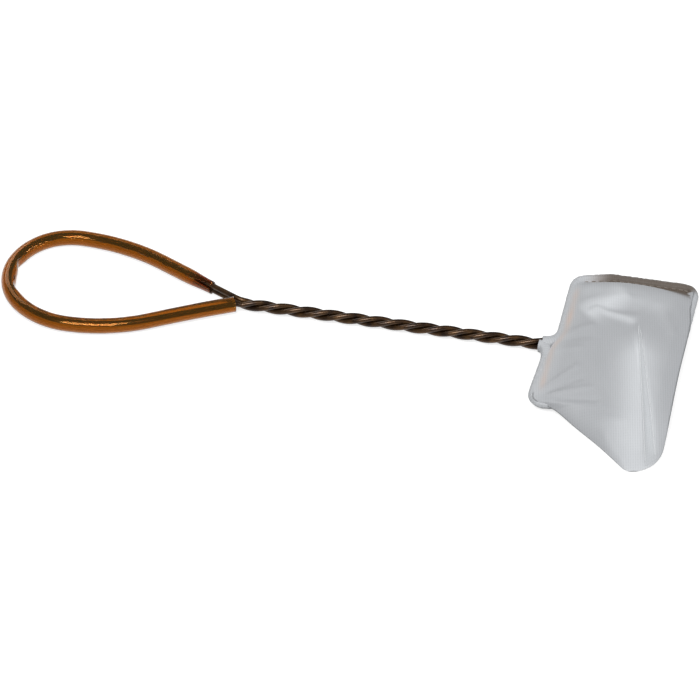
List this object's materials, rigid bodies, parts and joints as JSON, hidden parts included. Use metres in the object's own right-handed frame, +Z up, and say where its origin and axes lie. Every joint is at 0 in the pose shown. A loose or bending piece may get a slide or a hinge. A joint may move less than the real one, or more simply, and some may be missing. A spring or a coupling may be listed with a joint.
{
  "type": "aquarium fish net",
  "caption": "Small hand net: a wire twisted into a stem, with a looped handle in a vinyl sleeve and a rectangular hoop that carries a sewn fine-mesh bag.",
  "frame": {"origin": "middle of the bottom of the overall box, on the surface the net lies on", "axes": "+X along the stem from the handle loop to the hoop, +Y across the net away from the side the bag has fallen over, +Z up from the surface, out of the closed side of the bag"},
  "size_m": [0.2782, 0.1071, 0.01],
  "materials": {
    "wire": "satin bronze lacquer",
    "sleeve": "glossy translucent amber vinyl",
    "cloth": "fine white nylon mesh",
    "thread": "white sewing thread"
  },
  "bodies": {
    "root": {"frame_wire": "wire", "handle_sleeve": "sleeve", "bag_casing": "cloth", "bag_body": "cloth", "bag_seam": "cloth", "casing_stitches": "thread", "seam_stitches": "thread"}
  },
  "joints": []
}
